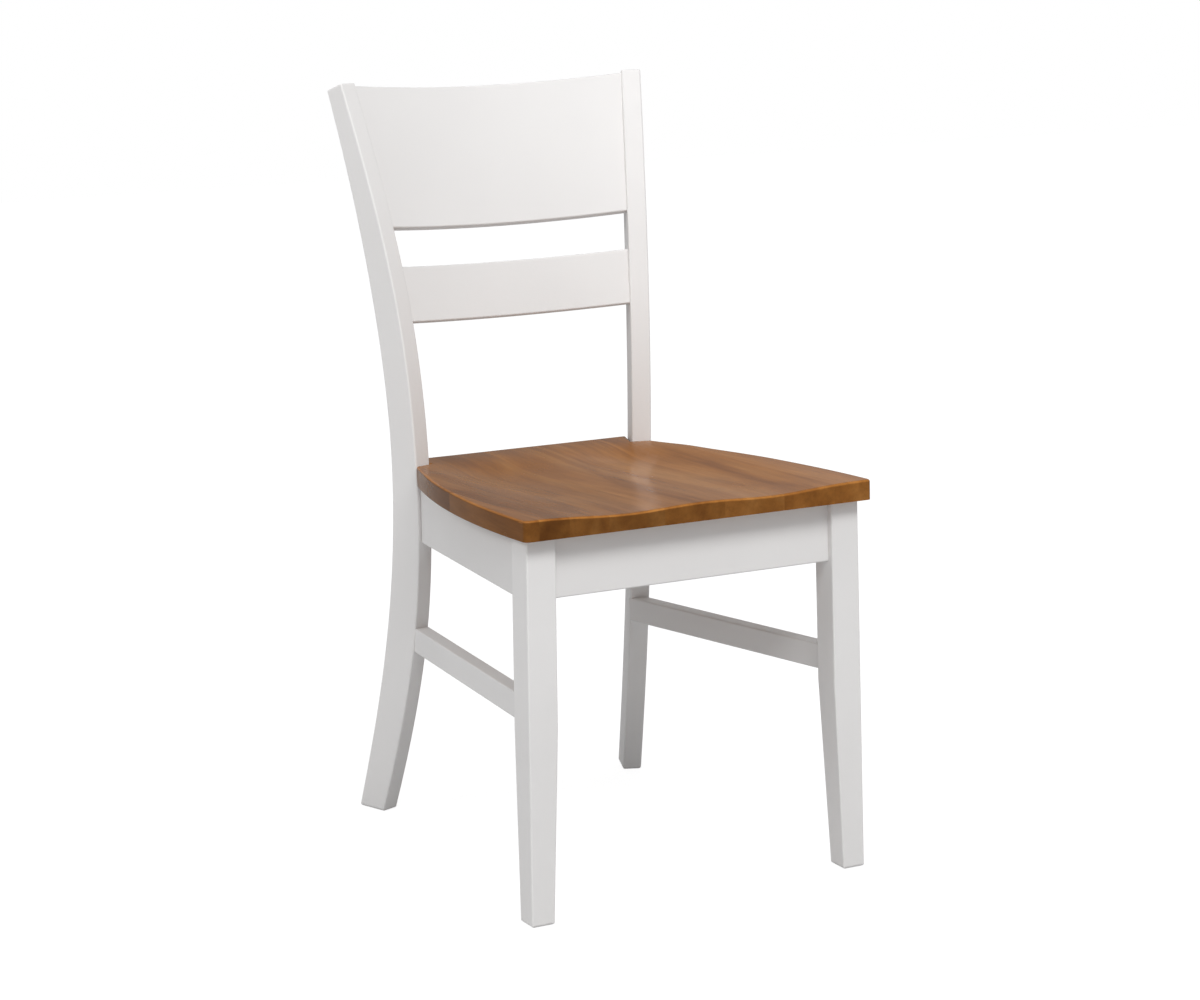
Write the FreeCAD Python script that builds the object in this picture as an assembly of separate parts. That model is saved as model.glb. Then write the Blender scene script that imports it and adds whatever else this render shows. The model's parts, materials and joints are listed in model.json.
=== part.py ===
# Ladderback dining chair: a white painted wooden frame under a scooped board seat.
# Sizes are millimetres. The chair faces -Y, +X is the viewer's right, +Z is up.
# It is drawn square to its seat, then leaned back so that all four feet stand flat.
import FreeCAD, Part
import math
import os

V = FreeCAD.Vector

# Stance
SEAT_HEIGHT = 457.0
RECLINE_DEG = 2.63

# Front legs, square, tapered on their two inner faces
LEG_SPREAD = 425.0
LEG_FRONT_Y = -215.0
LEG_WIDTH = 36.0
LEG_FOOT_WIDTH = 28.3
LEG_TAPER_HEIGHT = 220.0
LEG_SPLAY_DEG = 0.67

# Rear posts: plan place of the front outer corner at the reference height, and the sawn outline
POST_CORNER_X = 159.8
POST_CORNER_Y = 161.7
POST_REF_HEIGHT = 430.0
POST_TURN_DEG = 21.3
POST_LEAN_DEG = 1.2
POST_WIDTH = 23.7
POST_HEIGHT = 904.2
# Each station is a share of the post's height, the front edge's set-back, and the depth
POST_PROFILE = [
    (0.0, 89.0, 38.9),
    (0.1329, 47.4, 43.9),
    (0.2658, 16.4, 45.5),
    (0.3987, 1.2, 43.0),
    (0.5316, -0.1, 39.9),
    (0.6866, 13.6, 39.1),
    (0.8416, 45.5, 33.5),
]
POST_TOP_SETBACK = 90.9
POST_TOP_DEPTH = 25.0
POST_TOP_RAKE_DEG = 19.9

# Seat board
SEAT_THICKNESS = 23.3
SEAT_SIDE_OVERHANG = 9.3
SEAT_FRONT_OVERHANG = 15.5
SEAT_TONGUE_RUN = 48.3
SEAT_BOW_FRONT = 15.15
SEAT_BOW_REAR = 15.6
SEAT_CORNER_RADIUS = 6.0
SEAT_ARRIS = 3.0
SEAT_NOTCH_GAP = 1.2
# Glue joints between the staves, as shares of the seat's width from its middle
STAVE_JOINT_SHARES = [-0.4615, -0.3776, -0.268, -0.1111, 0.0624, 0.2363, 0.3866]

# Hollow of the seat: two lobes with a low ridge between them
SCOOP_DEPTH = 11.0
SCOOP_LOBE_X = 92.0
SCOOP_LOBE_SPREAD = 74.0
SCOOP_MOUTH_SHARE = 0.45
SCOOP_DEEPEST_Y = 80.0
SCOOP_REAR_Y = 184.0
SCOOP_SIDE_MARGIN = 18.0
SCOOP_RIM_POWER = 6
SCOOP_GRID = 19
SCOOP_OVERRUN = 20.0

# Aprons
APRON_THICKNESS = 18.0
APRON_HEIGHT = 70.2
FRONT_APRON_RECESS = 8.5
SIDE_APRON_RECESS = 5.0
SIDE_APRON_REAR_RECESS = 5.3
REAR_APRON_SETBACK = 14.0

# Side stretchers
STRETCHER_TOP = 258.0
STRETCHER_HEIGHT = 29.6
STRETCHER_WIDTH = 19.5
STRETCHER_RECESS = 2.4
STRETCHER_REAR_OUTSET = 3.2

# Back boards, bent to one radius in plan
BACK_BEND_RADIUS = 595.0
BACK_RECESS = 2.5
BACK_SPARE_LENGTH = 1.25
CREST_TOP_DROP = 5.6
CREST_HEIGHT = 171.4
CREST_RAKE_DEG = 17.5
CREST_THICKNESS = 17.0
HAND_GAP = 46.1
SLAT_HEIGHT = 66.5
SLAT_RAKE_DEG = 14.3
SLAT_THICKNESS = 15.0

# Softened edges
EDGE_ROUND = 2.0
FOOT_ROUND = 5.0
FOOT_BLOCK_SPARE = 1.02
FOOT_TOOL_RISE = 7.0

# Dowels, and how deep they go into each piece
DOWEL_RADIUS = 4.0
BACK_DOWEL_RADIUS = 3.0
DOWEL_CLEARANCE = 0.1
DOWEL_END_GAP = 0.6
RAIL_DOWEL_DEPTH = 22.0
LEG_DOWEL_DEPTH = 18.0
POST_DOWEL_DEPTH = 14.0
APRON_DOWEL_PITCH = 44.0
SIDE_DOWEL_PITCH = 18.0
CREST_DOWEL_PITCH = 90.0
SLAT_DOWEL_PITCH = 34.0

# Corner blocks
BLOCK_HEIGHT = 30.0
BLOCK_RUN = 56.0
BLOCK_CORNER_GAP = 3.0

# Screws through the corner blocks
SCREW_RADIUS = 2.2
SCREW_HEAD_RADIUS = 4.2
SCREW_HEAD_HEIGHT = 2.6
SCREW_CLEARANCE = 0.15
BLOCK_SCREW_LENGTH = 34.0
BLOCK_SCREW_BITE = 12.0
SCREW_PAST_DOWEL = 8.0
BLOCK_SCREW_STAGGER = 6.0
SEAT_SCREW_BITE = 11.0
SEAT_SCREW_SINK = 8.0
SEAT_SCREW_INSET_FRONT = 13.0
SEAT_SCREW_INSET_REAR = 9.0
SEAT_SCREW_INSET_Y = 9.0

# Cutting tools reach this far past the work
REACH = 400.0

POST_STATIONS = [(share * POST_HEIGHT, setback, depth) for share, setback, depth in POST_PROFILE]
SEAT_UNDER = SEAT_HEIGHT - SEAT_THICKNESS
SEAT_FRONT_WIDTH = LEG_SPREAD + 2 * SEAT_SIDE_OVERHANG
SEAT_FRONT_Y = LEG_FRONT_Y - SEAT_FRONT_OVERHANG
SEAT_REAR_Y = POST_CORNER_Y + SEAT_TONGUE_RUN
STAVE_JOINTS = [share * SEAT_FRONT_WIDTH for share in STAVE_JOINT_SHARES]
APRON_BOTTOM = SEAT_UNDER - APRON_HEIGHT
CREST_RISE = CREST_HEIGHT * math.cos(math.radians(CREST_RAKE_DEG))
CREST_BOTTOM = POST_HEIGHT - CREST_TOP_DROP - CREST_RISE
SLAT_RISE = SLAT_HEIGHT * math.cos(math.radians(SLAT_RAKE_DEG))
SLAT_BOTTOM = CREST_BOTTOM - HAND_GAP - SLAT_RISE
APRON_MIDDLE = (SEAT_UNDER + APRON_BOTTOM) / 2
STRETCHER_MIDDLE = STRETCHER_TOP - STRETCHER_HEIGHT / 2
LEG_REAR_Y = LEG_FRONT_Y + LEG_WIDTH
MIRROR_POINT = V(0, 0, 0)
UP = V(0, 0, 1)
ACROSS = V(1, 0, 0)
REARWARD = V(0, 1, 0)

TURN = math.radians(POST_TURN_DEG)
BACK_DIR = V(math.sin(TURN), math.cos(TURN), 0)
OUT_DIR = V(math.cos(TURN), -math.sin(TURN), 0)
POST_UP = UP + OUT_DIR * math.tan(math.radians(POST_LEAN_DEG))
POST_BASE = V(POST_CORNER_X, POST_CORNER_Y, POST_REF_HEIGHT)
POST_SIDE_NORMAL = BACK_DIR.cross(POST_UP).normalize()


def mirrored(shape):
    """The same piece on the other side of the chair."""
    return shape.mirror(MIRROR_POINT, ACROSS)


def prism(points, direction):
    """A straight solid over a closed outline of corner points."""
    outline = Part.makePolygon(points + [points[0]])
    return Part.Face(outline).extrude(direction)


def biggest(shape):
    """The largest solid of a cut."""
    return max(shape.Solids, key=lambda solid: solid.Volume)


def round_edges(shape, radius, wanted):
    """Round every edge that the test function picks."""
    edges = [edge for edge in shape.Edges if wanted(edge)]
    return shape.makeFillet(radius, edges)


def is_long(edge, least):
    """True for an edge at least this long."""
    return edge.Length >= least


def below_floor():
    """Everything under the floor, as the floor lies before the chair is leaned back."""
    ground = Part.makeBox(4 * REACH, 4 * REACH, REACH, V(-2 * REACH, -2 * REACH, -REACH))
    ground.rotate(V(0, LEG_FRONT_Y, 0), ACROSS, RECLINE_DEG)
    return ground


def floor_point(x, y):
    """A point of the floor, as the floor lies before the chair is leaned back."""
    return V(x, y, (y - LEG_FRONT_Y) * math.tan(math.radians(RECLINE_DEG)))


def round_foot(leg, corners, along):
    """A leg with a rounded foot: what lies round a block with round lower edges is cut off."""
    centre = sum(corners, V()) / len(corners)
    wider = [centre + (corner - centre) * FOOT_BLOCK_SPARE for corner in corners]
    block = prism(wider, along * (2 * FOOT_ROUND))
    level = centre.z + FOOT_ROUND
    block = round_edges(block, FOOT_ROUND, lambda edge: edge.BoundBox.ZMax < level)
    around = Part.makeBox(2 * LEG_WIDTH, 2 * LEG_WIDTH, LEG_WIDTH + FOOT_TOOL_RISE,
                          centre - V(LEG_WIDTH, LEG_WIDTH, LEG_WIDTH))
    return biggest(leg.cut(around.cut(block)))


def leg_outer_x(height):
    """Outer face of the right front leg at a height."""
    drop = SEAT_HEIGHT - height
    return LEG_SPREAD / 2 + drop * math.tan(math.radians(LEG_SPLAY_DEG))


def leg_width_at(height):
    """Width of a front leg, which tapers below the taper height."""
    share = min(height / LEG_TAPER_HEIGHT, 1.0)
    return LEG_FOOT_WIDTH + (LEG_WIDTH - LEG_FOOT_WIDTH) * share


def soft_rectangle(low, high, radius):
    """A level rectangle between two corners, with rounded corners."""
    slope = radius * (1 - math.sqrt(0.5))
    edges = []
    ends = []
    for x, y, turn_x, turn_y in ((low.x, low.y, 1, 1), (high.x, low.y, -1, 1),
                                 (high.x, high.y, -1, -1), (low.x, high.y, 1, -1)):
        along_x = V(x + turn_x * radius, y, low.z)
        middle = V(x + turn_x * slope, y + turn_y * slope, low.z)
        along_y = V(x, y + turn_y * radius, low.z)
        arc = [along_y, middle, along_x] if turn_x == turn_y else [along_x, middle, along_y]
        edges.append(Part.Arc(*arc).toShape())
        ends.append((arc[0], arc[2]))
    lines = [Part.makeLine(ends[i][1], ends[(i + 1) % 4][0]) for i in range(4)]
    ring = [piece for pair in zip(edges, lines) for piece in pair]
    return Part.Wire(ring)


def leg_section(height):
    """The outline of the right front leg at a height."""
    outer = leg_outer_x(height)
    width = leg_width_at(height)
    low = V(outer - width, LEG_FRONT_Y, height)
    high = V(outer, LEG_FRONT_Y + width, height)
    return soft_rectangle(low, high, EDGE_ROUND)


def front_leg():
    """Right front leg: square with softened corners, tapered towards the foot."""
    sections = [leg_section(z) for z in (-LEG_FOOT_WIDTH, LEG_TAPER_HEIGHT, SEAT_UNDER)]
    leg = Part.makeLoft(sections, True, True).cut(below_floor())
    outer = leg_outer_x(0.0)
    inner = outer - LEG_FOOT_WIDTH
    rear_y = LEG_FRONT_Y + LEG_FOOT_WIDTH
    corners = [floor_point(inner, LEG_FRONT_Y), floor_point(outer, LEG_FRONT_Y),
               floor_point(outer, rear_y), floor_point(inner, rear_y)]
    return round_foot(leg, corners, UP)


def post_point(height, setback, inset=0.0):
    """A point of the right post: height, distance back and distance in from the outer face."""
    return (POST_BASE + POST_UP * (height - POST_REF_HEIGHT)
            + BACK_DIR * setback - OUT_DIR * inset)


def spline_through(points):
    """A smooth edge through a few points."""
    curve = Part.BSplineCurve()
    curve.interpolate(points)
    return curve.toShape()


def rear_post():
    """Right rear post: one sawn outline, extruded through the thickness of the board."""
    front = [post_point(z, setback) for z, setback, depth in POST_STATIONS]
    rear = [post_point(z, setback + depth) for z, setback, depth in POST_STATIONS]
    front.append(post_point(POST_HEIGHT, POST_TOP_SETBACK))
    rake = math.radians(POST_TOP_RAKE_DEG)
    rear.append(post_point(POST_HEIGHT - POST_TOP_DEPTH * math.sin(rake),
                           POST_TOP_SETBACK + POST_TOP_DEPTH * math.cos(rake)))
    outline = Part.Wire([
        spline_through(front),
        Part.makeLine(front[-1], rear[-1]),
        spline_through(rear[::-1]),
        Part.makeLine(rear[0], front[0]),
    ])
    post = Part.Face(outline).extrude(OUT_DIR * -POST_WIDTH)
    post = post.cut(below_floor())
    foot = min(post.Faces, key=lambda face: face.CenterOfMass.z)
    corners = [vertex.Point for vertex in foot.OuterWire.OrderedVertexes]
    along = (front[1] - front[0]) / (front[1].z - front[0].z)
    post = round_edges(post, EDGE_ROUND, lambda edge: edge.BoundBox.ZLength > LEG_WIDTH)
    top = POST_HEIGHT - POST_TOP_DEPTH
    post = round_edges(post, EDGE_ROUND, lambda edge: edge.BoundBox.ZMin > top)
    return round_foot(post, corners, along)


def beyond_post(inset):
    """Everything outside a plane that lies this far in from the right post's outer face."""
    corners = [
        post_point(-REACH, -REACH, inset),
        post_point(-REACH, REACH, inset),
        post_point(3 * REACH, REACH, inset),
        post_point(3 * REACH, -REACH, inset),
    ]
    return prism(corners, OUT_DIR * REACH)


def between_posts(shape):
    """A board trimmed to fit between the inner faces of the two posts."""
    outside = beyond_post(POST_WIDTH)
    return biggest(shape.cut(outside).cut(mirrored(outside)))


def setback_at(height):
    """Set-back of the posts' front edge at a height, along straight lines between stations."""
    stations = [(z, setback) for z, setback, depth in POST_STATIONS]
    stations.append((POST_HEIGHT, POST_TOP_SETBACK))
    for (low, back_low), (high, back_high) in zip(stations, stations[1:]):
        if low <= height <= high:
            return back_low + (back_high - back_low) * (height - low) / (high - low)
    return POST_TOP_SETBACK


def back_board(bottom, height, rake_deg, thickness):
    """A bent board between the posts: an arc band pushed up along the rake of the back."""
    rake = math.radians(rake_deg)
    end = post_point(bottom, setback_at(bottom) + BACK_RECESS, POST_WIDTH)
    up_rake = V(0, math.sin(rake), math.cos(rake))
    behind = V(0, math.cos(rake), -math.sin(rake))
    bow = BACK_BEND_RADIUS - math.sqrt(BACK_BEND_RADIUS ** 2 - end.x ** 2)
    centre = V(0, end.y, end.z) + behind * (bow - BACK_BEND_RADIUS)
    wide = BACK_SPARE_LENGTH * math.asin(end.x / BACK_BEND_RADIUS)

    def on_arc(radius, angle):
        return centre + ACROSS * (radius * math.sin(angle)) + behind * (radius * math.cos(angle))

    inner = Part.Arc(*[on_arc(BACK_BEND_RADIUS, a) for a in (-wide, 0, wide)]).toShape()
    outer_radius = BACK_BEND_RADIUS + thickness
    outer = Part.Arc(*[on_arc(outer_radius, a) for a in (wide, 0, -wide)]).toShape()
    band = Part.Wire([
        inner,
        Part.makeLine(on_arc(BACK_BEND_RADIUS, wide), on_arc(outer_radius, wide)),
        outer,
        Part.makeLine(on_arc(outer_radius, -wide), on_arc(BACK_BEND_RADIUS, -wide)),
    ])
    board = Part.Face(band).extrude(up_rake * height)
    board = round_edges(board, EDGE_ROUND, lambda edge: is_long(edge, end.x))
    return between_posts(board)


def crest_rail():
    """The tall top board of the back."""
    return back_board(CREST_BOTTOM, CREST_HEIGHT, CREST_RAKE_DEG, CREST_THICKNESS)


def lower_slat():
    """The low board under the crest rail."""
    return back_board(SLAT_BOTTOM, SLAT_HEIGHT, SLAT_RAKE_DEG, SLAT_THICKNESS)


def level_board(front_y):
    """An apron across the chair, over-long, with its lower arrises softened."""
    wide = LEG_SPREAD / 2
    board = Part.makeBox(2 * wide, APRON_THICKNESS, SEAT_UNDER - APRON_BOTTOM,
                         V(-wide, front_y, APRON_BOTTOM))
    return round_edges(board, EDGE_ROUND, lambda edge: is_low_and_long(edge, wide))


def is_low_and_long(edge, least):
    """True for the long lower edges of an apron."""
    return is_long(edge, least) and edge.BoundBox.ZMax < APRON_MIDDLE


def front_apron(leg):
    """The board between the front legs."""
    apron = level_board(LEG_FRONT_Y + FRONT_APRON_RECESS)
    return biggest(apron.cut(leg).cut(mirrored(leg)))


def rear_apron_front_y():
    """Front face of the rear apron, set back from the posts' front inner corner."""
    return post_point(APRON_BOTTOM, 0.0, POST_WIDTH).y + REAR_APRON_SETBACK


def rear_apron():
    """The board between the rear posts, under the seat."""
    return between_posts(level_board(rear_apron_front_y()))


class SideRail:
    """A straight rail from the right front leg to the right rear post."""

    def __init__(self, front_x, rear_x, width, bottom, height):
        start = V(front_x, LEG_REAR_Y, bottom)
        end = V(rear_x, POST_CORNER_Y, bottom)
        self.along = (end - start).normalize()
        self.inward = V(-self.along.y, self.along.x, 0)
        self.inner_start = start + self.inward * width
        self.middle = start + self.inward * (width / 2) + UP * (height / 2)
        low = start - self.along * (LEG_WIDTH / 2)
        high = self.outer_post_point(start, height) + self.along * (POST_WIDTH / 2)
        corners = [low, high, high + self.inward * width, low + self.inward * width]
        self.blank = prism(corners, UP * height)

    def outer_post_point(self, start, height):
        """Where the rail's outer face meets the front of the post, at mid height."""
        level = start.z + height / 2
        return meet(start, self.along, post_point(level, setback_at(level)), BACK_DIR)

    def fitted(self, leg, post):
        """The rail cut off where it meets the leg and the post."""
        return biggest(self.blank.cut(leg).cut(post))

    def inner_at(self, y):
        """The point of the rail's inner face at a distance back."""
        return meet(self.inner_start, self.along, V(0, y, 0), REARWARD)

    def leg_joint(self):
        """Where the rail's centre line meets the leg."""
        return meet(self.middle, self.along, V(0, LEG_REAR_Y, 0), REARWARD)

    def post_joint(self):
        """Where the rail's centre line meets the front of the post."""
        face = post_point(self.middle.z, setback_at(self.middle.z))
        return meet(self.middle, self.along, face, BACK_DIR)


def meet(point, direction, origin, normal):
    """Where a line through a point crosses a plane."""
    return point + direction * ((origin - point).dot(normal) / direction.dot(normal))


def apron_rail():
    """The side apron's blank."""
    rail = SideRail(LEG_SPREAD / 2 - SIDE_APRON_RECESS, POST_CORNER_X - SIDE_APRON_REAR_RECESS,
                    APRON_THICKNESS, APRON_BOTTOM, SEAT_UNDER - APRON_BOTTOM)
    rail.blank = round_edges(rail.blank, EDGE_ROUND,
                             lambda edge: is_low_and_long(edge, LEG_SPREAD / 2))
    return rail


def stretcher_rail():
    """The side stretcher's blank."""
    front_x = leg_outer_x(STRETCHER_TOP) - STRETCHER_RECESS
    rail = SideRail(front_x, POST_CORNER_X + STRETCHER_REAR_OUTSET, STRETCHER_WIDTH,
                    STRETCHER_TOP - STRETCHER_HEIGHT, STRETCHER_HEIGHT)
    rail.blank = round_edges(rail.blank, EDGE_ROUND, lambda edge: is_long(edge, LEG_SPREAD / 2))
    return rail


class Dowels:
    """The dowels of one joint, and the holes they sit in."""

    def __init__(self, centres, along, depth_back, depth_on, radius=DOWEL_RADIUS):
        pin_length = depth_back + depth_on - 2 * DOWEL_END_GAP
        self.pins = []
        bores = []
        for centre in centres:
            start = centre - along * depth_back
            pin_start = start + along * DOWEL_END_GAP
            self.pins.append(Part.makeCylinder(radius, pin_length, pin_start, along))
            bores.append(Part.makeCylinder(radius + DOWEL_CLEARANCE,
                                           depth_back + depth_on, start, along))
        self.bores = Part.makeCompound(bores)


def stacked(centre, direction, pitch):
    """Two centres, half a pitch to each side of a middle point."""
    return [centre - direction * (pitch / 2), centre + direction * (pitch / 2)]


def front_apron_dowels():
    """Right end of the front apron, into the leg."""
    inner_x = leg_outer_x(APRON_MIDDLE) - LEG_WIDTH
    middle_y = LEG_FRONT_Y + FRONT_APRON_RECESS + APRON_THICKNESS / 2
    centres = stacked(V(inner_x, middle_y, APRON_MIDDLE), UP, APRON_DOWEL_PITCH)
    return Dowels(centres, ACROSS, RAIL_DOWEL_DEPTH, LEG_DOWEL_DEPTH)


def rear_apron_dowels():
    """Right end of the rear apron, into the post."""
    middle = V(0, rear_apron_front_y() + APRON_THICKNESS / 2, APRON_MIDDLE)
    joint = meet(middle, ACROSS, post_point(APRON_MIDDLE, 0.0, POST_WIDTH), POST_SIDE_NORMAL)
    return Dowels(stacked(joint, UP, APRON_DOWEL_PITCH), ACROSS, RAIL_DOWEL_DEPTH, POST_DOWEL_DEPTH)


def side_rail_dowels(rail, pitch):
    """Dowels at both ends of a side rail: into the leg, and into the post."""
    at_leg = stacked(rail.leg_joint(), UP, pitch) if pitch else [rail.leg_joint()]
    at_post = stacked(rail.post_joint(), UP, pitch) if pitch else [rail.post_joint()]
    front = Dowels(at_leg, rail.along * -1, RAIL_DOWEL_DEPTH, LEG_DOWEL_DEPTH)
    rear = Dowels(at_post, rail.along, RAIL_DOWEL_DEPTH, POST_DOWEL_DEPTH)
    return front, rear


def back_board_dowels(bottom, height, rake_deg, thickness, pitch):
    """Right end of a back board, square into the post."""
    rake = math.radians(rake_deg)
    end = post_point(bottom, setback_at(bottom) + BACK_RECESS, POST_WIDTH)
    up_rake = V(0, math.sin(rake), math.cos(rake))
    behind = V(0, math.cos(rake), -math.sin(rake))
    swing = math.asin(end.x / BACK_BEND_RADIUS)
    radial = ACROSS * math.sin(swing) + behind * math.cos(swing)
    middle = end + up_rake * (height / 2) + radial * (thickness / 2)
    centres = [meet(point, OUT_DIR, end, POST_SIDE_NORMAL)
               for point in stacked(middle, up_rake, pitch)]
    return Dowels(centres, OUT_DIR, RAIL_DOWEL_DEPTH, POST_DOWEL_DEPTH, BACK_DOWEL_RADIUS)


def scoop_depth(x, y):
    """How far the seat top lies under its rim at a place."""
    side_x = seat_side_x(y) - SCOOP_SIDE_MARGIN
    rim = max(0.0, 1.0 - (abs(x) / side_x) ** SCOOP_RIM_POWER)
    lobe = math.exp(-((abs(x) - SCOOP_LOBE_X) / SCOOP_LOBE_SPREAD) ** 2)
    other = math.exp(-((abs(x) + SCOOP_LOBE_X) / SCOOP_LOBE_SPREAD) ** 2)
    front_run = (y - SEAT_FRONT_Y) / (SCOOP_DEEPEST_Y - SEAT_FRONT_Y)
    if front_run < 1.0:
        ease = math.sin(max(front_run, 0.0) * math.pi / 2) ** 2
        along = SCOOP_MOUTH_SHARE + (1.0 - SCOOP_MOUTH_SHARE) * ease
    else:
        rear_run = min((y - SCOOP_DEEPEST_Y) / (SCOOP_REAR_Y - SCOOP_DEEPEST_Y), 1.0)
        along = math.cos(rear_run * math.pi / 2) ** 2
    return SCOOP_DEPTH * along * rim * (lobe + other)


def seat_side_x(y):
    """Half width of the seat at a place, on straight lines between its side points."""
    points = side_points()
    for low, high in zip(points, points[1:]):
        if y <= high.y:
            share = (y - low.y) / (high.y - low.y)
            return low.x + (high.x - low.x) * share
    return points[-1].x


def seat_post_corner(height):
    """Where the seat meets the right post's front outer corner, with the notch's air."""
    return post_point(height, -SEAT_NOTCH_GAP)


def side_points():
    """The bowed right side of the seat, from its front corner to the post."""
    front = V(SEAT_FRONT_WIDTH / 2, SEAT_FRONT_Y, SEAT_UNDER)
    corner = seat_post_corner(SEAT_UNDER)
    rear = V(corner.x, corner.y, SEAT_UNDER)
    third = (rear - front) / 3
    return [
        front,
        front + third + ACROSS * SEAT_BOW_FRONT,
        rear - third + ACROSS * SEAT_BOW_REAR,
        rear,
    ]


def seat_outline():
    """The outline of the seat board: bowed sides, and a tongue between the posts."""
    side = side_points()
    front, rear = side[0], side[-1]
    corner = seat_corner_inner()
    run = (SEAT_REAR_Y - corner.y) / BACK_DIR.y
    tongue = corner + BACK_DIR * run
    start = V(front.x, front.y + SEAT_CORNER_RADIUS, SEAT_UNDER)
    bowed = spline_through([start] + side[1:])
    side_edges = [bowed, Part.makeLine(rear, corner), Part.makeLine(corner, tongue)]
    other_edges = [mirrored(edge) for edge in side_edges]
    r = SEAT_CORNER_RADIUS
    slope = r * (1 - math.sqrt(0.5))
    begin = V(front.x - r, front.y, SEAT_UNDER)
    middle = V(front.x - slope, front.y + slope, SEAT_UNDER)
    corner_arc = Part.Arc(begin, middle, start).toShape()
    front_line = Part.makeLine(V(-begin.x, begin.y, begin.z), begin)
    rear_line = Part.makeLine(tongue, V(-tongue.x, tongue.y, tongue.z))
    edges = [front_line, corner_arc] + side_edges + [rear_line]
    edges += other_edges + [mirrored(corner_arc)]
    return Part.Wire(Part.__sortEdges__(edges))


def seat_corner_inner():
    """Inner corner of the notch round the right post, on the seat's underside."""
    point = post_point(SEAT_UNDER, -SEAT_NOTCH_GAP, POST_WIDTH + SEAT_NOTCH_GAP)
    return V(point.x, point.y, SEAT_UNDER)


def scoop_tool():
    """Everything over the hollowed top of the seat."""
    span_x = SEAT_FRONT_WIDTH + 2 * SCOOP_OVERRUN
    span_y = SEAT_REAR_Y - SEAT_FRONT_Y + 2 * SCOOP_OVERRUN
    rows = []
    for i in range(SCOOP_GRID):
        x = span_x * (i / (SCOOP_GRID - 1) - 0.5)
        row = []
        for j in range(SCOOP_GRID):
            y = SEAT_FRONT_Y - SCOOP_OVERRUN + span_y * j / (SCOOP_GRID - 1)
            row.append(V(x, y, SEAT_HEIGHT - scoop_depth(x, y)))
        rows.append(row)
    surface = Part.BSplineSurface()
    surface.interpolate(rows)
    return surface.toShape().extrude(UP * (2 * SEAT_THICKNESS))


def seat_board():
    """The whole seat before it is parted into its staves."""
    blank = Part.Face(seat_outline()).extrude(UP * (2 * SEAT_THICKNESS))
    board = biggest(blank.cut(scoop_tool()))
    half = SEAT_UNDER + SEAT_THICKNESS / 2
    return round_edges(board, SEAT_ARRIS, lambda edge: edge.CenterOfMass.z > half)


def seat_staves(board, tools):
    """The seat parted along its glue joints, from left to right."""
    for tool in tools:
        board = board.cut(tool)
    limits = [-REACH] + STAVE_JOINTS + [REACH]
    staves = []
    for left, right in zip(limits, limits[1:]):
        slab = Part.makeBox(right - left, 2 * REACH, REACH, V(left, -REACH, SEAT_UNDER - REACH / 2))
        staves.append(biggest(board.common(slab)))
    return staves


class Screws:
    """Screws with flat round heads, and the holes they sit in."""

    def __init__(self):
        self.screws = []
        self.holes = []

    def add(self, start, along, length):
        """One screw whose head seats at the start point."""
        head = Part.makeCylinder(SCREW_HEAD_RADIUS, SCREW_HEAD_HEIGHT, start, along)
        shank = Part.makeCylinder(SCREW_RADIUS, length, start, along)
        self.screws.append(head.fuse(shank).removeSplitter())
        entry_run = BLOCK_RUN / 2
        entry = Part.makeCylinder(SCREW_HEAD_RADIUS + SCREW_CLEARANCE,
                                  SCREW_HEAD_HEIGHT + entry_run, start - along * entry_run, along)
        narrow = Part.makeCylinder(SCREW_RADIUS + SCREW_CLEARANCE, length, start, along)
        self.holes.append(entry.fuse(narrow))

    def all_holes(self):
        """Every hole as one cutting tool."""
        return Part.makeCompound(self.holes)


def block_prism(corners):
    """A corner block, hard up under the seat."""
    return prism([V(point.x, point.y, SEAT_UNDER - BLOCK_HEIGHT) for point in corners],
                 UP * BLOCK_HEIGHT)


def fix_block(screws, seat_screws, spots, normals, seat_spot):
    """Two screws from a block into its aprons, and one up into the seat."""
    level = SEAT_UNDER - BLOCK_HEIGHT / 2
    for spot, normal, step in zip(spots, normals, (BLOCK_SCREW_STAGGER, -BLOCK_SCREW_STAGGER)):
        head = V(spot.x, spot.y, level + step)
        head = head - normal * (BLOCK_SCREW_LENGTH - BLOCK_SCREW_BITE)
        screws.add(head, normal, BLOCK_SCREW_LENGTH)
    low = SEAT_UNDER - BLOCK_HEIGHT + SEAT_SCREW_SINK
    length = SEAT_UNDER + SEAT_SCREW_BITE - low
    seat_screws.add(V(seat_spot.x, seat_spot.y, low), UP, length)


def front_block(rail, screws, seat_screws):
    """Right front corner block, notched round the leg."""
    apron_y = LEG_FRONT_Y + FRONT_APRON_RECESS + APRON_THICKNESS
    near_x = LEG_SPREAD / 2 - LEG_WIDTH - BLOCK_CORNER_GAP
    near_y = LEG_REAR_Y + BLOCK_CORNER_GAP
    place = RAIL_DOWEL_DEPTH + SCREW_PAST_DOWEL
    corners = [
        V(near_x, apron_y, 0),
        V(near_x - BLOCK_RUN, apron_y, 0),
        rail.inner_at(near_y + BLOCK_RUN),
        rail.inner_at(near_y),
        V(near_x, near_y, 0),
    ]
    spots = [V(near_x - place, apron_y, 0), rail.inner_at(near_y + place)]
    seat_spot = V(near_x - SEAT_SCREW_INSET_FRONT, near_y + SEAT_SCREW_INSET_Y, 0)
    fix_block(screws, seat_screws, spots, [REARWARD * -1, rail.inward * -1], seat_spot)
    return block_prism(corners)


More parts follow.
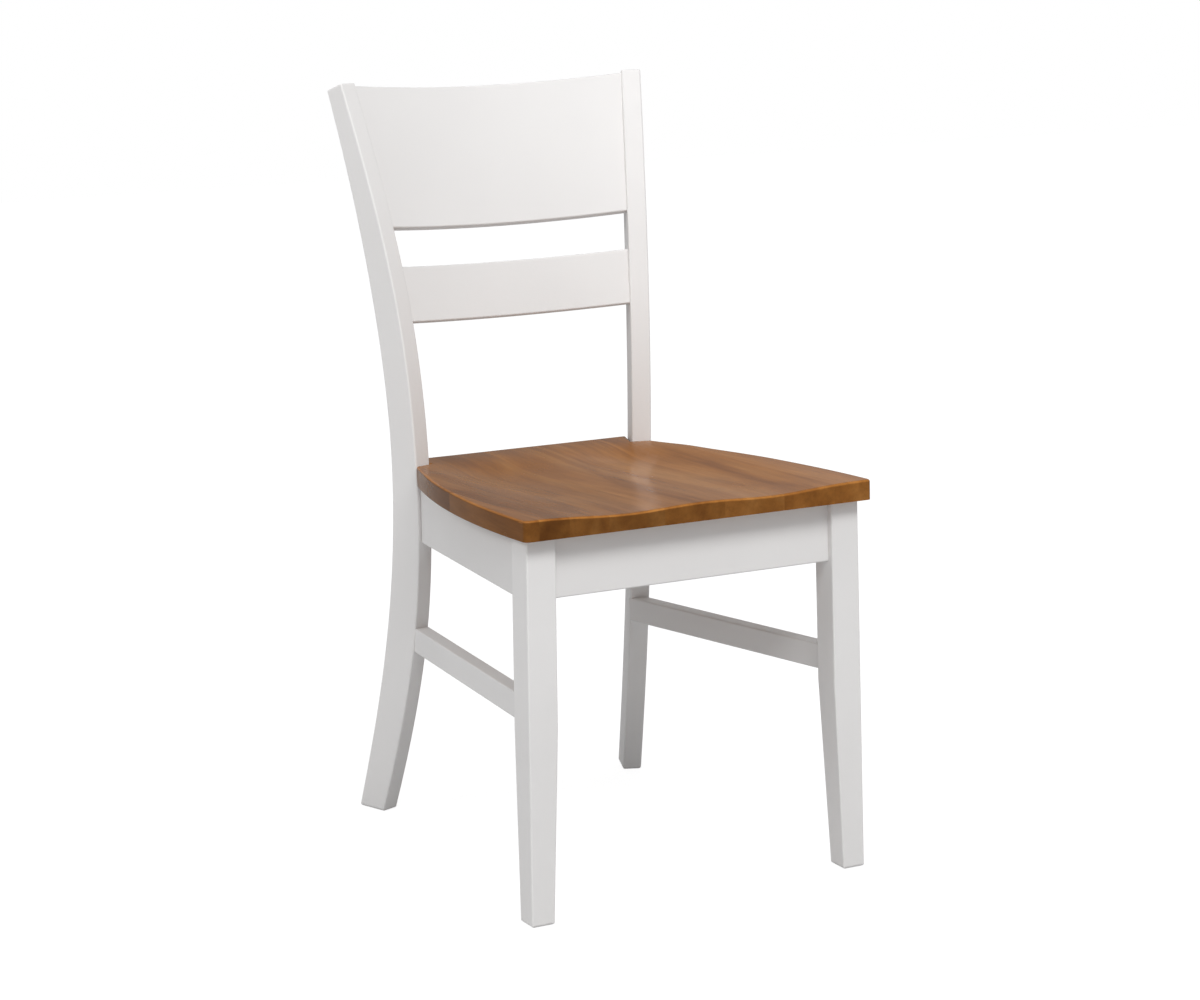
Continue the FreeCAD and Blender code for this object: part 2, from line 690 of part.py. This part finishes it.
def rear_block(rail, screws, seat_screws):
    """Right rear corner block, in front of the rear apron."""
    apron_y = rear_apron_front_y()
    corner = post_point(SEAT_UNDER - BLOCK_HEIGHT, 0.0, POST_WIDTH)
    near_x = rail.inner_at(apron_y).x - BLOCK_CORNER_GAP
    near_y = corner.y - BLOCK_CORNER_GAP
    place = RAIL_DOWEL_DEPTH + SCREW_PAST_DOWEL
    corners = [
        V(near_x, apron_y, 0),
        V(near_x - BLOCK_RUN, apron_y, 0),
        rail.inner_at(near_y - BLOCK_RUN),
        rail.inner_at(near_y),
    ]
    spots = [V(near_x - place, apron_y, 0), rail.inner_at(near_y - place)]
    seat_spot = V(near_x - SEAT_SCREW_INSET_REAR, apron_y - SEAT_SCREW_INSET_Y, 0)
    fix_block(screws, seat_screws, spots, [REARWARD, rail.inward * -1], seat_spot)
    return block_prism(corners)


def both_sides(name, shape):
    """A right-hand piece and its mirror image, under their two names."""
    return {name + "_left": mirrored(shape), name + "_right": shape}


def grouped(name, shapes):
    """Like small pieces from both sides of the chair, kept as separate solids of one node."""
    return {name: Part.makeCompound([mirrored(shape) for shape in shapes] + shapes)}


def make_nodes():
    """Every piece of the chair, by name, as drawn square to the seat."""
    leg = front_leg()
    post = rear_post()
    side_rail = apron_rail()
    low_rail = stretcher_rail()

    front_pins = front_apron_dowels()
    rear_pins = rear_apron_dowels()
    side_front_pins, side_rear_pins = side_rail_dowels(side_rail, SIDE_DOWEL_PITCH)
    low_front_pins, low_rear_pins = side_rail_dowels(low_rail, 0.0)
    crest_pins = back_board_dowels(CREST_BOTTOM, CREST_HEIGHT, CREST_RAKE_DEG,
                                   CREST_THICKNESS, CREST_DOWEL_PITCH)
    slat_pins = back_board_dowels(SLAT_BOTTOM, SLAT_HEIGHT, SLAT_RAKE_DEG,
                                  SLAT_THICKNESS, SLAT_DOWEL_PITCH)

    block_screws = Screws()
    seat_screws = Screws()
    block_front = front_block(side_rail, block_screws, seat_screws)
    block_rear = rear_block(side_rail, block_screws, seat_screws)
    block_holes = block_screws.all_holes()
    seat_holes = seat_screws.all_holes()

    def bored_both(shape, tool):
        return biggest(shape.cut(tool).cut(mirrored(tool)))

    apron_front = bored_both(bored_both(front_apron(leg), front_pins.bores), block_holes)
    apron_rear = bored_both(bored_both(rear_apron(), rear_pins.bores), block_holes)
    crest = bored_both(crest_rail(), crest_pins.bores)
    slat = bored_both(lower_slat(), slat_pins.bores)
    apron_side = side_rail.fitted(leg, post)
    stretcher = low_rail.fitted(leg, post)
    for tool in (side_front_pins.bores, side_rear_pins.bores, block_holes):
        apron_side = apron_side.cut(tool)
    for tool in (low_front_pins.bores, low_rear_pins.bores):
        stretcher = stretcher.cut(tool)
    for tool in (front_pins.bores, side_front_pins.bores, low_front_pins.bores):
        leg = leg.cut(tool)
    for tool in (rear_pins.bores, side_rear_pins.bores, low_rear_pins.bores,
                 crest_pins.bores, slat_pins.bores):
        post = post.cut(tool)
    for tool in (block_holes, seat_holes):
        block_front = block_front.cut(tool)
        block_rear = block_rear.cut(tool)

    nodes = {}
    staves = seat_staves(seat_board(), [seat_holes, mirrored(seat_holes)])
    for number, stave in enumerate(staves, start=1):
        nodes["seat_stave_%d" % number] = stave
    nodes.update(both_sides("front_leg", biggest(leg)))
    nodes.update(both_sides("rear_post", biggest(post)))
    nodes["crest_rail"] = crest
    nodes["lower_slat"] = slat
    nodes["front_apron"] = apron_front
    nodes["rear_apron"] = apron_rear
    nodes.update(both_sides("side_apron", biggest(apron_side)))
    nodes.update(both_sides("side_stretcher", biggest(stretcher)))
    nodes.update(both_sides("corner_block_front", biggest(block_front)))
    nodes.update(both_sides("corner_block_rear", biggest(block_rear)))
    nodes.update(grouped("front_apron_dowels", front_pins.pins))
    nodes.update(grouped("rear_apron_dowels", rear_pins.pins))
    side_pins = Part.makeCompound(side_front_pins.pins + side_rear_pins.pins)
    nodes.update(both_sides("side_apron_dowels", side_pins))
    low_pins = Part.makeCompound(low_front_pins.pins + low_rear_pins.pins)
    nodes.update(both_sides("stretcher_dowels", low_pins))
    nodes.update(grouped("crest_rail_dowels", crest_pins.pins))
    nodes.update(grouped("lower_slat_dowels", slat_pins.pins))
    nodes.update(grouped("corner_block_screws", block_screws.screws))
    nodes.update(grouped("seat_screws", seat_screws.screws))
    return nodes


def leaned_back(shape):
    """A piece as it stands once the chair is leaned back onto its four feet."""
    placed = shape.copy()
    placed.rotate(V(0, LEG_FRONT_Y, 0), ACROSS, -RECLINE_DEG)
    return placed


def main():
    os.makedirs("parts", exist_ok=True)
    nodes = {name: leaned_back(shape) for name, shape in make_nodes().items()}
    whole = Part.makeCompound(list(nodes.values())).optimalBoundingBox(False, False)
    shift = V(-(whole.XMin + whole.XMax) / 2, -(whole.YMin + whole.YMax) / 2, -whole.ZMin)
    for name, shape in nodes.items():
        shape.translate(shift)
        shape.exportStep("parts/%s.step" % name)
    print("pieces", len(nodes), "size", round(whole.XLength, 1), round(whole.YLength, 1),
          round(whole.ZLength, 1), "shift", [round(value, 2) for value in shift])


main()
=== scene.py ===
"""White painted side chair with a stained, varnished board seat, in a pale studio."""
import json
import math

import bpy
from mathutils import Matrix, Vector


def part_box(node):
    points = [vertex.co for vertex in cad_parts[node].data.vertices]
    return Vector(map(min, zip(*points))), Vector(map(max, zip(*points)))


# Camera, solved from the photograph's edges
CAMERA_PLACE = (-1.8014, -3.2611, 1.2308)
CAMERA_YAW_DEG = 29.19
CAMERA_PITCH_DEG = 12.50
CAMERA_LENS = 97.68
CAMERA_SENSOR = 36.0
CAMERA_REACH = 100.0

# Colours, as linear values
PAINT = (0.815, 0.800, 0.790)
PAINT_SHADE = (0.785, 0.770, 0.761)
STAIN_DARK = (0.185, 0.066, 0.013)
STAIN_MIDDLE = (0.270, 0.105, 0.022)
STAIN_LIGHT = (0.355, 0.155, 0.040)
BARE_WOOD = (0.58, 0.38, 0.20)
BARE_WOOD_DARK = (0.44, 0.26, 0.12)
STEEL = (0.56, 0.56, 0.58)

# Noise mostly lies between these two values
NOISE_LOW = 0.3
NOISE_HIGH = 0.7

# Stretch of fine grain along a piece, and height of the relief that it leaves, in metres
GRAIN_STRETCH = 0.06
RELIEF_HEIGHT = 0.0004

# Paint: how fine its clouds, sheen and grain are, and how it shines
PAINT_CLOUD_SCALE = 5.0
PAINT_SHEEN_SCALE = 38.0
PAINT_GRAIN_SCALE = 420.0
PAINT_ROUGHNESS = (0.40, 0.50)
PAINT_SPECULAR = 0.35
PAINT_RELIEF = 0.10

# Varnished staves: stretch along the grain, fineness and range of each layer of the figure
FIGURE_STRETCH = 0.16
FIGURE_SHIFT = (1.7, 0.9, 0.6)
FIGURE_SCALE = 18.0
FIGURE_DISTORTION = 0.9
FIGURE_STOPS = [(0.28, STAIN_DARK), (0.50, STAIN_MIDDLE), (0.74, STAIN_LIGHT)]
STREAK_STRETCH = 0.035
STREAK_SHIFT = (1.0, 0.3, 0.0)
STREAK_SCALE = 150.0
STREAK_SPAN = (0.32, 0.68, 0.88, 1.10)
PORE_STRETCH = 0.05
PORE_SCALE = 520.0
PORE_SPAN = (0.30, 0.46, 0.90, 1.0)
SMEAR_STRETCH = 0.4
SMEAR_SCALE = 24.0
VARNISH_ROUGHNESS = (0.20, 0.28)
VARNISH_SPECULAR = 0.08
VARNISH_RELIEF = 0.10

# Bare wood and plated steel
BARE_STRETCH = 0.15
BARE_CLOUD_SCALE = 30.0
BARE_GRAIN_SCALE = 500.0
BARE_ROUGHNESS = (0.58, 0.72)
BARE_RELIEF = 0.25
STEEL_MOTTLE_SCALE = 900.0
STEEL_SHADE = 0.85
STEEL_ROUGHNESS = (0.30, 0.42)

# Steps between the seeds of like pieces
PAINT_SEED_STEP = 1.37
STAVE_SEED_STEP = 2.13
BARE_SEED_STEP = 1.91

# Tone of each stave, from left to right: darker below 1, lighter above
# Partly each stave's own tone, partly painted light: the rise to the right stands in for light falling
# from the right
STAVE_TONES_WITH_PAINTED_LIGHT = [1.00, 0.84, 0.92, 0.86, 1.04, 1.14, 1.30, 1.36]
# The stain is darker on the upright faces, where it soaks in, and evener on the top; along the
# softened edges a painted highlight makes it paler
UPRIGHT_TONE = 0.72
ARRIS_PAINTED_HIGHLIGHT = 1.45
TOP_TONE_SHARE = 0.5
# How level a surface is where the upright tone, the painted edge highlight and the top tone begin and
# end
UPRIGHT_END = 0.25
ARRIS_HIGHLIGHT_SPAN = (0.45, 0.80)
TOP_START = 0.95
# The ramp holds tones halved, since its colours end at 1
TONE_SCALE = 2.0

# Strength of the light from all round, low down and overhead
HORIZON = 0.32
OVERHEAD = 0.55
HORIZON_SPAN = (0.12, 0.5)
SKY_COLOUR = (0.98, 0.99, 1.0)

# A pale card far behind the chair on the right, which the varnish mirrors
CARD_AZIMUTH_DEG = 44.0
CARD_HEIGHT_DEG = 14.0
CARD_STRENGTH = 0.65
CARD_EDGE = (0.968, 0.994)

# Soft lamps: azimuth and height in degrees as seen from the chair, and power
LAMP_DISTANCE = 4.0
LAMP_SIZE = 1.4
LAMPS = {
    "key": (0.0, 50.0, 65.0),
    "front_left": (-30.0, 48.0, 25.0),
    "side_left": (-90.0, 33.0, 31.0),
}
LAMP_TARGET = (0.0, 0.0, 0.45)

FLOOR_SIZE = 12.0
FLOOR_COLOUR = (0.60, 0.60, 0.60)
FLOOR_ROUGHNESS = 0.9
# How much of the real floor, with the chair's shadow, the camera sees under the white
FLOOR_SHADOW_SHARE = 0.4
FLOOR_WHITE = 1.48

# Entries and result of the colour mix node
MIX_FACTOR = 0
MIX_FIRST = 6
MIX_SECOND = 7
MIX_RESULT = 2


class Graph:
    """A material's node graph, with short ways to add and link nodes."""

    def __init__(self, name):
        self.material = bpy.data.materials.new(name)
        self.material.use_nodes = True
        self.nodes = self.material.node_tree.nodes
        self.links = self.material.node_tree.links
        self.nodes.clear()
        self.shader = self.add("ShaderNodeBsdfPrincipled")
        output = self.add("ShaderNodeOutputMaterial")
        self.link(self.shader, "BSDF", output, "Surface")

    def add(self, kind, **values):
        node = self.nodes.new(kind)
        for key, value in values.items():
            setattr(node, key, value)
        return node

    def link(self, source, output, target, entry):
        self.links.new(source.outputs[output], target.inputs[entry])

    def place(self, scale=(1, 1, 1), shift=(0, 0, 0)):
        """The piece's own coordinates, stretched and moved."""
        coordinates = self.add("ShaderNodeTexCoord")
        mapping = self.add("ShaderNodeMapping")
        mapping.inputs["Scale"].default_value = scale
        mapping.inputs["Location"].default_value = shift
        self.link(coordinates, "Object", mapping, "Vector")
        return mapping

    def noise(self, place, scale, detail=3.0, roughness=0.5, distortion=0.0):
        """Soft noise over placed coordinates."""
        node = self.add("ShaderNodeTexNoise")
        node.inputs["Scale"].default_value = scale
        node.inputs["Detail"].default_value = detail
        node.inputs["Roughness"].default_value = roughness
        node.inputs["Distortion"].default_value = distortion
        self.link(place, "Vector", node, "Vector")
        return node

    def ramp(self, source, output, stops):
        """A colour ramp over a value."""
        node = self.add("ShaderNodeValToRGB")
        elements = node.color_ramp.elements
        while len(elements) < len(stops):
            elements.new(0.5)
        for element, (position, colour) in zip(elements, stops):
            element.position = position
            element.color = (*colour, 1.0)
        self.link(source, output, node, "Fac")
        return node

    def span(self, source, output, low, high, to_low, to_high):
        """A value stretched from one range to another."""
        node = self.add("ShaderNodeMapRange")
        ends = {"From Min": low, "From Max": high, "To Min": to_low, "To Max": to_high}
        for entry, value in ends.items():
            node.inputs[entry].default_value = value
        self.link(source, output, node, "Value")
        return node

    def rough(self, source, low, high):
        """Roughness that follows a noise between two values."""
        node = self.span(source, "Fac", NOISE_LOW, NOISE_HIGH, low, high)
        self.link(node, "Result", self.shader, "Roughness")

    def math(self, operation, first, second):
        """A sum or product of two values; each is a number or (node, output)."""
        node = self.add("ShaderNodeMath", operation=operation)
        for index, value in enumerate((first, second)):
            if isinstance(value, tuple):
                self.links.new(value[0].outputs[value[1]], node.inputs[index])
            else:
                node.inputs[index].default_value = value
        return node

    def tinted(self, colour, tint):
        """The colour of one node times that of another."""
        node = self.add("ShaderNodeMix", data_type="RGBA", blend_type="MULTIPLY")
        node.inputs[MIX_FACTOR].default_value = 1.0
        self.link(colour, "Color", node, MIX_FIRST)
        self.link(tint, "Color", node, MIX_SECOND)
        return node

    def levelness(self):
        """How level the surface lies: 1 on top and underneath, 0 on upright faces."""
        geometry = self.add("ShaderNodeNewGeometry")
        split = self.add("ShaderNodeSeparateXYZ")
        self.link(geometry, "Normal", split, "Vector")
        return self.math("ABSOLUTE", (split, "Z"), 0.0)

    def bump(self, source, strength):
        """Fine relief on the surface, from a noise."""
        node = self.add("ShaderNodeBump")
        node.inputs["Strength"].default_value = strength
        node.inputs["Distance"].default_value = RELIEF_HEIGHT
        self.link(source, "Fac", node, "Height")
        self.link(node, "Normal", self.shader, "Normal")


def grain_scale(along, stretch=GRAIN_STRETCH):
    """Stretch along one axis, so that noise runs as grain does."""
    return tuple(stretch if axis == along else 1.0 for axis in "XYZ")


def painted_wood(name, along, seed):
    """Opaque satin white paint, with a trace of the grain and the brush in its sheen."""
    graph = Graph(name)
    cloud = graph.noise(graph.place(shift=(seed, seed, seed)), PAINT_CLOUD_SCALE, detail=2.0)
    tone = graph.ramp(cloud, "Fac", [(NOISE_LOW, PAINT_SHADE), (NOISE_HIGH, PAINT)])
    graph.link(tone, "Color", graph.shader, "Base Color")
    sheen = graph.noise(graph.place(shift=(seed, 0, 0)), PAINT_SHEEN_SCALE, detail=4.0)
    graph.rough(sheen, *PAINT_ROUGHNESS)
    along_grain = graph.place(scale=grain_scale(along), shift=(0, seed, 0))
    graph.bump(graph.noise(along_grain, PAINT_GRAIN_SCALE, detail=4.0), PAINT_RELIEF)
    graph.shader.inputs["Specular IOR Level"].default_value = PAINT_SPECULAR
    return graph.material


def varnished_stave(name, tone, seed):
    """One stained stave: straight grain with darker streaks and pores, under a satin varnish, with a
    painted highlight along its softened edges and a tone that partly stands in for light.
    """
    graph = Graph(name)
    bend = graph.place(scale=(1.0, FIGURE_STRETCH, 1.0), shift=[seed * step for step in FIGURE_SHIFT])
    broad = graph.noise(bend, FIGURE_SCALE, detail=2.0, distortion=FIGURE_DISTORTION)
    figure = graph.ramp(broad, "Fac", FIGURE_STOPS)
    fine = graph.place(scale=(1.0, STREAK_STRETCH, 1.0), shift=[seed * step for step in STREAK_SHIFT])
    lines = graph.noise(fine, STREAK_SCALE, detail=5.0, roughness=0.6)
    streak = graph.span(lines, "Fac", *STREAK_SPAN)
    finest = graph.place(scale=(1.0, PORE_STRETCH, 1.0), shift=(0, seed, seed))
    pore = graph.span(graph.noise(finest, PORE_SCALE, detail=2.0), "Fac", *PORE_SPAN)
    streaked = graph.math("MULTIPLY", (streak, "Result"), (pore, "Result"))
    top_tone = 1.0 + (tone - 1.0) * TOP_TONE_SHARE
    # Ramp stops: upright faces, a painted highlight along the softened edges, then the top
    stops = [(UPRIGHT_END, UPRIGHT_TONE * tone), (ARRIS_HIGHLIGHT_SPAN[0], ARRIS_PAINTED_HIGHLIGHT),
             (ARRIS_HIGHLIGHT_SPAN[1], ARRIS_PAINTED_HIGHLIGHT), (TOP_START, top_tone)]
    greys = [(place, (value / TONE_SCALE,) * 3) for place, value in stops]
    level = graph.ramp(graph.levelness(), "Value", greys)
    leveled_and_highlit = graph.math("MULTIPLY", (level, "Color"), TONE_SCALE)
    toned = graph.math("MULTIPLY", (streaked, "Value"), (leveled_and_highlit, "Value"))
    tint = graph.add("ShaderNodeCombineColor")
    for entry in ("Red", "Green", "Blue"):
        graph.link(toned, "Value", tint, entry)
    graph.link(graph.tinted(figure, tint), MIX_RESULT, graph.shader, "Base Color")
    wiped = graph.place(scale=(1.0, SMEAR_STRETCH, 1.0), shift=(seed, 0, seed))
    graph.rough(graph.noise(wiped, SMEAR_SCALE), *VARNISH_ROUGHNESS)
    graph.shader.inputs["Specular IOR Level"].default_value = VARNISH_SPECULAR
    graph.bump(lines, VARNISH_RELIEF)
    return graph.material


def bare_wood(name, along, seed):
    """Sanded hardwood with fine grain, for the pieces under the seat and the dowels."""
    graph = Graph(name)
    stretched = graph.place(scale=grain_scale(along, stretch=BARE_STRETCH), shift=(seed, 0, 0))
    broad = graph.noise(stretched, BARE_CLOUD_SCALE)
    tone = graph.ramp(broad, "Fac", [(NOISE_LOW, BARE_WOOD_DARK), (NOISE_HIGH, BARE_WOOD)])
    graph.link(tone, "Color", graph.shader, "Base Color")
    along_grain = graph.place(scale=grain_scale(along), shift=(0, seed, 0))
    fibres = graph.noise(along_grain, BARE_GRAIN_SCALE, detail=4.0)
    graph.rough(fibres, *BARE_ROUGHNESS)
    graph.bump(fibres, BARE_RELIEF)
    return graph.material


def zinc_steel(name):
    """Plain plated steel with a faint mottle."""
    graph = Graph(name)
    mottle = graph.noise(graph.place(), STEEL_MOTTLE_SCALE, detail=2.0)
    shade = tuple(STEEL_SHADE * value for value in STEEL)
    tone = graph.ramp(mottle, "Fac", [(NOISE_LOW, shade), (NOISE_HIGH, STEEL)])
    graph.link(tone, "Color", graph.shader, "Base Color")
    graph.rough(mottle, *STEEL_ROUGHNESS)
    graph.shader.inputs["Metallic"].default_value = 1.0
    return graph.material


def dress(node, material):
    """Give a node one material all over."""
    mesh = nodes[node].data
    mesh.materials.clear()
    mesh.materials.append(material)


def grain_axis(node):
    """The axis along which a piece is longest, which is how its grain runs."""
    low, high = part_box(node)
    size = high - low
    return "XYZ"[max(range(3), key=lambda axis: size[axis])]


def dress_all():
    """A material for every node, each with its own seed."""
    slots = {entry["node"]: entry["material_slot"] for entry in frame["record"]["subparts"]}
    for seed, node in enumerate(sorted(nodes), start=1):
        slot = slots[node]
        if slot == "painted_wood":
            dress(node, painted_wood("paint_" + node, grain_axis(node), seed * PAINT_SEED_STEP))
        elif slot == "seat_wood":
            number = int(node.rsplit("_", 1)[1])
            # The stave's tone, which carries painted light rising to the right
            tone = STAVE_TONES_WITH_PAINTED_LIGHT[number - 1]
            dress(node, varnished_stave("varnish_" + node, tone, seed * STAVE_SEED_STEP))
        elif slot == "raw_hardwood":
            dress(node, bare_wood("bare_" + node, grain_axis(node), seed * BARE_SEED_STEP))
        else:
            dress(node, zinc_steel("steel_" + node))


def add_camera():
    """The camera of the photograph."""
    yaw = math.radians(CAMERA_YAW_DEG)
    pitch = math.radians(CAMERA_PITCH_DEG)
    level = math.cos(pitch)
    forward = Vector((math.sin(yaw) * level, math.cos(yaw) * level, -math.sin(pitch)))
    data = bpy.data.cameras.new("camera")
    data.lens = CAMERA_LENS
    data.sensor_width = CAMERA_SENSOR
    data.clip_end = CAMERA_REACH
    camera = bpy.data.objects.new("camera", data)
    turn = forward.to_track_quat("-Z", "Y").to_matrix().to_4x4()
    camera.matrix_world = Matrix.Translation(CAMERA_PLACE) @ turn
    bpy.context.collection.objects.link(camera)
    bpy.context.scene.camera = camera


def add_lamps():
    """Large soft lamps, all aimed at the middle of the chair."""
    for name, (azimuth, height, power) in LAMPS.items():
        turn = math.radians(azimuth)
        rise = math.radians(height)
        way = Vector((math.sin(turn) * math.cos(rise), -math.cos(turn) * math.cos(rise), math.sin(rise)))
        data = bpy.data.lights.new(name, "AREA")
        data.shape = "DISK"
        data.size = LAMP_SIZE
        data.energy = power
        lamp = bpy.data.objects.new(name, data)
        place = Matrix.Translation(Vector(LAMP_TARGET) + way * LAMP_DISTANCE)
        lamp.matrix_world = place @ (-way).to_track_quat("-Z", "Y").to_matrix().to_4x4()
        bpy.context.collection.objects.link(lamp)


def white_for_camera(tree, shader, strength=1.0):
    """Show plain white to the camera, and the shader to everything else."""
    path = tree.nodes.new("ShaderNodeLightPath")
    white = tree.nodes.new("ShaderNodeBackground" if shader.bl_idname == "ShaderNodeBackground"
                           else "ShaderNodeEmission")
    white.inputs["Color"].default_value = (1.0, 1.0, 1.0, 1.0)
    white.inputs["Strength"].default_value = strength
    mix = tree.nodes.new("ShaderNodeMixShader")
    tree.links.new(path.outputs["Is Camera Ray"], mix.inputs["Fac"])
    tree.links.new(shader.outputs[0], mix.inputs[1])
    tree.links.new(white.outputs[0], mix.inputs[2])
    return mix


def add_card(tree, coordinates):
    """Extra light from one patch of the surroundings, with a soft edge."""
    turn = math.radians(CARD_AZIMUTH_DEG)
    rise = math.radians(CARD_HEIGHT_DEG)
    way = (math.sin(turn) * math.cos(rise), math.cos(turn) * math.cos(rise), math.sin(rise))
    near = tree.nodes.new("ShaderNodeVectorMath")
    near.operation = "DOT_PRODUCT"
    near.inputs[1].default_value = way
    tree.links.new(coordinates.outputs["Generated"], near.inputs[0])
    card = tree.nodes.new("ShaderNodeMapRange")
    card.interpolation_type = "SMOOTHSTEP"
    card.inputs["From Min"].default_value = CARD_EDGE[0]
    card.inputs["From Max"].default_value = CARD_EDGE[1]
    card.inputs["To Max"].default_value = CARD_STRENGTH
    tree.links.new(near.outputs["Value"], card.inputs["Value"])
    return card


def add_world():
    """Soft white light from all round, stronger overhead and at the card, on white."""
    world = bpy.data.worlds.new("studio")
    bpy.context.scene.world = world
    world.use_nodes = True
    tree = world.node_tree
    tree.nodes.clear()
    coordinates = tree.nodes.new("ShaderNodeTexCoord")
    split = tree.nodes.new("ShaderNodeSeparateXYZ")
    rise = tree.nodes.new("ShaderNodeMapRange")
    rise.interpolation_type = "SMOOTHSTEP"
    ends = {"From Min": HORIZON_SPAN[0], "From Max": HORIZON_SPAN[1],
            "To Min": HORIZON, "To Max": OVERHEAD}
    for entry, value in ends.items():
        rise.inputs[entry].default_value = value
    fill = tree.nodes.new("ShaderNodeBackground")
    fill.inputs["Color"].default_value = (*SKY_COLOUR, 1.0)
    tree.links.new(coordinates.outputs["Generated"], split.inputs[0])
    tree.links.new(split.outputs["Z"], rise.inputs["Value"])
    card = add_card(tree, coordinates)
    total = tree.nodes.new("ShaderNodeMath")
    tree.links.new(rise.outputs["Result"], total.inputs[0])
    tree.links.new(card.outputs["Result"], total.inputs[1])
    tree.links.new(total.outputs[0], fill.inputs["Strength"])
    output = tree.nodes.new("ShaderNodeOutputWorld")
    mix = white_for_camera(tree, fill)
    tree.links.new(mix.outputs[0], output.inputs["Surface"])


def add_floor():
    """A pale floor that the camera sees as white, with a faint shadow of the chair."""
    half = FLOOR_SIZE / 2
    mesh = bpy.data.meshes.new("floor")
    corners = [(-half, -half, 0.0), (half, -half, 0.0), (half, half, 0.0), (-half, half, 0.0)]
    mesh.from_pydata(corners, [], [(0, 1, 2, 3)])
    floor = bpy.data.objects.new("floor", mesh)
    bpy.context.collection.objects.link(floor)
    graph = Graph("floor_white")
    graph.shader.inputs["Base Color"].default_value = (*FLOOR_COLOUR, 1.0)
    graph.shader.inputs["Roughness"].default_value = FLOOR_ROUGHNESS
    output = next(node for node in graph.nodes if node.bl_idname == "ShaderNodeOutputMaterial")
    mix = white_for_camera(graph.material.node_tree, graph.shader, FLOOR_WHITE)
    shadowed = graph.add("ShaderNodeMixShader")
    shadowed.inputs["Fac"].default_value = FLOOR_SHADOW_SHARE
    graph.links.new(mix.outputs[0], shadowed.inputs[1])
    graph.link(graph.shader, "BSDF", shadowed, 2)
    graph.links.new(shadowed.outputs[0], output.inputs["Surface"])
    mesh.materials.append(graph.material)


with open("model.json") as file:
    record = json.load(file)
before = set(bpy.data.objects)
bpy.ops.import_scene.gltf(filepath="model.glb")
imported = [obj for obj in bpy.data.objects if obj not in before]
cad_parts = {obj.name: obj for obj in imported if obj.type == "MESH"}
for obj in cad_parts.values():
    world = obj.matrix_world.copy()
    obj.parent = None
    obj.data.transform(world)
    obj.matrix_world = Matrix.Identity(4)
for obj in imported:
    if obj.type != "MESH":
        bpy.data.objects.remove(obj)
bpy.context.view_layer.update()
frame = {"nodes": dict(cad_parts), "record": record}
nodes = frame["nodes"]

dress_all()
add_camera()
add_world()
add_floor()
add_lamps()

bpy.context.scene.view_settings.view_transform = "Standard"
